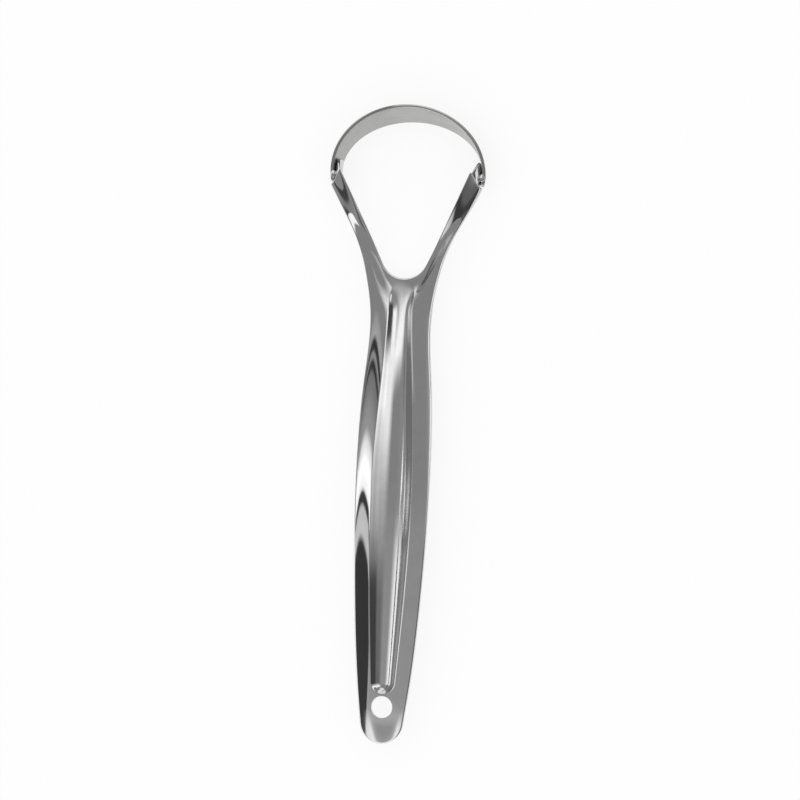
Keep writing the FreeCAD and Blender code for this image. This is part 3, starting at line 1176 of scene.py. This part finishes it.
LEFT_STRIP = GlowStrip("left_strip", sides=(-15.0, -4.6), height=3.0, levels=(
    (0.0, 1.1), (5.0, 1.0), (7.5, 0.05), (46.5, 0.045), (49.5, 0.75), (55.0, 0.7), (56.5, 0.05),
    (58.5, 0.05), (60.0, 1.3), (66.0, 1.5), (70.0, 1.1), (75.0, 0.4), (87.0, 0.24), (88.6, 0.05),
    (90.0, 0.05), (91.0, 0.36), (92.2, 0.36), (93.0, 0.04), (95.0, 0.04), (96.5, 0.5), (99.0, 0.45),
    (103.0, 0.3), (112.0, 0.3)), arch=11.0, rise=5.2)
FLOOR_STRIP = GlowStrip("floor_strip", sides=(-3.9, 1.9), height=2.9, levels=(
    (80.0, 1.2), (92.0, 1.3), (100.0, 1.25), (106.0, 1.0), (109.0, 0.6)),
    ends=(80.0, 110.5), slant=-5.6, fade=0.75)
TAIL_STRIP = GlowStrip("tail_strip", sides=(-6.1, 6.9), height=1.8, levels=(
    (-14.0, 0.15), (-10.0, 0.3), (-7.0, 1.3), (-3.0, 1.3), (0.0, 0.45), (2.0, 0.38), (8.0, 0.4)),
    arch=-24.0, ends=(-14.0, 8.0), fade=0.75)
RIGHT_ARM_STRIP = GlowStrip("right_arm_strip", sides=(9.0, 27.0), height=8.0, levels=(
    (113.0, 1.0), (117.5, 0.7), (119.5, 0.05), (122.0, 0.05), (124.0, 0.14), (127.0, 0.16), (130.0, 0.3)),
    ends=(112.0, 133.0))
LEFT_ARM_STRIP = GlowStrip("left_arm_strip", sides=(-33.0, -14.5), height=8.0, levels=(
    (113.0, 0.45), (117.0, 0.10), (119.5, 0.35), (122.0, 0.28), (123.5, 0.07), (125.6, 0.06)),
    ends=(112.0, 125.6))
CREASE_STRIP = GlowStrip("crease_strip", sides=(-15.4, -9.6), height=5.1, levels=(
    (121.4, 1.3), (124.4, 1.3)),
    ends=(121.4, 124.4), fade=0.3, rise=2.9)


@dataclass
class LightTunnel:
    """A half-round tunnel of soft light along the handle, which the polished steel mirrors."""

    radius: float = 90.0
    half_length: float = 190.0
    half_turn: float = 100.0
    turn_count: int = 81
    row_count: int = 21
    floor_gap: float = 4.0
    sway: float = 0.012
    sway_scale: float = 30.0
    stretch: float = 1.1
    bow_stretch: float = 0.082
    bow_station: float = 45.0
    centre_levels: Pairs = (
        (0.0, 0.8), (4.0, 0.7), (8.0, 0.38), (45.0, 0.36), (62.0, 0.3), (128.0, 0.30), (141.0, 0.95))
    right_levels: Pairs = (
        (0.0, 0.15), (38.0, 0.2), (56.0, 0.5), (70.0, 1.15), (101.0, 1.3), (109.0, 0.35), (138.0, 0.3))
    right_turns: tuple[float, float] = (9.0, 36.0)
    steep_levels: Pairs = (
        (0.0, 0.06), (42.0, 0.06), (47.0, 0.3), (54.0, 0.55), (60.0, 0.7), (66.0, 1.0), (73.0, 1.4),
        (82.0, 1.35), (86.0, 0.6), (90.0, 0.07), (112.0, 0.07), (120.0, 0.3))
    steep_turns: tuple[float, float] = (56.0, 65.0)
    left_levels: Pairs = ((0.0, 1.25), (42.0, 1.2), (58.0, 0.34), (138.0, 0.3), (146.0, 1.0))
    left_turns: tuple[float, float] = (-18.0, -40.0)
    low_level: float = 0.10
    low_turns: tuple[float, float] = (74.0, 92.0)
    low_shift: float = 6.0

    def mesh(self) -> Mesh:
        """Draw the tunnel's wall.

        Returns:
            The wall, open at both ends and below.
        """
        turns = np.radians(np.linspace(-self.half_turn, self.half_turn, self.turn_count))
        rows = np.linspace(-self.half_length, self.half_length, self.row_count)
        points = [(self.radius * math.sin(turn) * MM, row * MM,
                   (self.radius * math.cos(turn) + FLANGE_Z) * MM) for row in rows for turn in turns]
        count = self.turn_count
        clear = [point[2] > self.floor_gap * MM for point in points]
        corners = [row * count + index for row in range(self.row_count - 1) for index in range(count - 1)]
        faces = [(corner, corner + count, corner + count + 1, corner + 1) for corner in corners
                 if clear[corner] and clear[corner + 1]]
        made = bpy.data.meshes.new("light_tunnel")
        made.from_pydata(points, [], faces)
        return made

    def levels_along(self, graph: NodeGraph, along: NodeSocket, levels: Pairs) -> NodeSocket:
        """Make a glow that changes along the tunnel.

        Args:
            graph: the glow's node tree.
            along: share of the way along the tunnel.
            levels: stations of the handle and the glow that each mirrors.

        Returns:
            The glow's socket.
        """
        shares = []
        for station, level in levels:
            row = (station + TAIL_Y) * self.stretch + self.bow_stretch * max(station - self.bow_station, 0.0)
            shares.append(((row + self.half_length) / (2.0 * self.half_length), level))
        return stepped_glow(graph, along, tuple(shares))

    def material(self) -> Material:
        """Build the glow from the angle round the tunnel and the place along it.

        Returns:
            The glowing material.
        """
        made, graph = started_material("tunnel_glow")
        at_object = graph.object_place()
        place = graph.add("ShaderNodeSeparateXYZ", {0: at_object}).outputs
        up = graph.math("SUBTRACT", place[2], FLANGE_Z * MM)
        turn = graph.math("DEGREES", graph.math("ARCTAN2", place[0], up))
        from_end = graph.math("ADD", place[1], self.half_length * MM)
        along = graph.math("DIVIDE", from_end, 2.0 * self.half_length * MM)
        sway = graph.first("ShaderNodeTexNoise",
                           {"Vector": at_object, "Scale": self.sway_scale, "Detail": 1.0})
        along = graph.math("MULTIPLY_ADD", graph.math("SUBTRACT", sway, 0.5), self.sway, along)
        level = self.levels_along(graph, along, self.centre_levels)
        for levels, turns in ((self.right_levels, self.right_turns), (self.steep_levels, self.steep_turns),
                              (self.left_levels, self.left_turns)):
            level = graph.mix(level, self.levels_along(graph, along, levels), graph.spread(turn, *turns))
        low = graph.math("ABSOLUTE", graph.math("ADD", turn, self.low_shift))
        level = graph.mix(level, self.low_level, graph.spread(low, *self.low_turns))
        glow = graph.first("ShaderNodeEmission", {"Color": WHITE, "Strength": level})
        graph.add("ShaderNodeOutputMaterial", {"Surface": glow})
        return made

    def build(self) -> Object:
        """Set the tunnel round the handle.

        Returns:
            The tunnel, seen only by mirror rays.
        """
        made = plain_object("light_tunnel", self.mesh())
        made.data.materials.append(self.material())
        only_mirrored(made)
        return made


@dataclass
class Studio:
    """The white floor and surround, and the camera."""

    aim: tuple[float, float, float] = (1.13, 5.645, 6.4)
    view_side: float = math.radians(15.0)
    view_roll: float = math.radians(2.6)
    distance: float = 900.0
    half_view: float = 93.675
    sensor: float = 36.0
    clip: tuple[float, float] = (10.0, 20000.0)
    floor_half: float = 1600.0
    floor_height: float = -0.2
    paper: tuple[float, float, float, float] = (0.95, 0.95, 0.95, 1.0)
    white_share: float = 0.82

    def floor(self) -> Object:
        """Lay a white floor that keeps a soft shadow.

        Returns:
            The floor.
        """
        half, up = self.floor_half * MM, self.floor_height * MM
        mesh = bpy.data.meshes.new("floor")
        mesh.from_pydata([(-half, -half, up), (half, -half, up), (half, half, up), (-half, half, up)], [],
                         [(0, 1, 2, 3)])
        made = plain_object("floor", mesh)
        material, graph = started_material("white_floor")
        paper = graph.first("ShaderNodeBsdfDiffuse", {"Color": self.paper})
        white = graph.first("ShaderNodeEmission", {"Color": WHITE, "Strength": 1.0})
        path = graph.add("ShaderNodeLightPath").outputs
        seen = graph.math("MAXIMUM", path["Is Glossy Ray"], path["Is Transmission Ray"])
        seen = graph.math("MAXIMUM", path["Is Camera Ray"], seen)
        share = graph.math("MULTIPLY", seen, self.white_share)
        surface = graph.first("ShaderNodeMixShader", {0: share, 1: paper, 2: white})
        graph.add("ShaderNodeOutputMaterial", {"Surface": surface})
        mesh.materials.append(material)
        return made

    def surround(self) -> None:
        """Set the plain white world."""
        world = bpy.data.worlds.new("white_surround")
        world.use_nodes = True
        graph = NodeGraph(world.node_tree)
        light = graph.first("ShaderNodeBackground", {"Color": WHITE, "Strength": 1.0})
        graph.add("ShaderNodeOutputWorld", {"Surface": light})
        bpy.context.scene.world = world

    def camera(self) -> None:
        """Set the camera where the photograph was taken from."""
        side, roll = self.view_side, self.view_roll
        level = Vector((math.cos(side), 0.0, -math.sin(side)))
        along = Vector((0.0, 1.0, 0.0))
        right = level * math.cos(roll) + along * math.sin(roll)
        up = along * math.cos(roll) - level * math.sin(roll)
        back = Vector((math.sin(side), 0.0, math.cos(side)))
        data = bpy.data.cameras.new("photo_camera")
        data.sensor_width = self.sensor
        data.lens = self.sensor / 2.0 * self.distance / self.half_view
        data.clip_start, data.clip_end = (end * MM for end in self.clip)
        made = bpy.data.objects.new("photo_camera", data)
        bpy.context.scene.collection.objects.link(made)
        turn = Matrix((right, up, back)).transposed().to_4x4()
        made.matrix_world = Matrix.Translation((Vector(self.aim) + back * self.distance) * MM) @ turn
        bpy.context.scene.camera = made

    def build(self) -> None:
        """Set up the floor, the light and the camera."""
        bpy.context.scene.view_settings.view_transform = "Standard"
        self.floor()
        self.surround()
        for light in (LightTunnel(), LEFT_STRIP, FLOOR_STRIP, TAIL_STRIP, RIGHT_ARM_STRIP, LEFT_ARM_STRIP,
                      CREASE_STRIP):
            light.build()
        self.camera()


def main() -> None:
    """Build the scraper's pieces, dress them and set up the studio."""
    logging.basicConfig(level=logging.INFO, format="%(name)s: %(message)s")
    band = ScraperBand()
    for builder, node, slot in ((HandleFrame(band), "handle_frame", Slot.POLISHED),
                                (band, "scraper_band", Slot.SATIN),
                                (SpotWelds(band), "spot_welds", Slot.WELD)):
        piece = builder.build()
        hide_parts(node)
        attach(piece, "root")
        LOG.info("%s: %d faces", piece.name, len(piece.data.polygons))
    Studio().build()


if __name__ == "__main__":
    main()
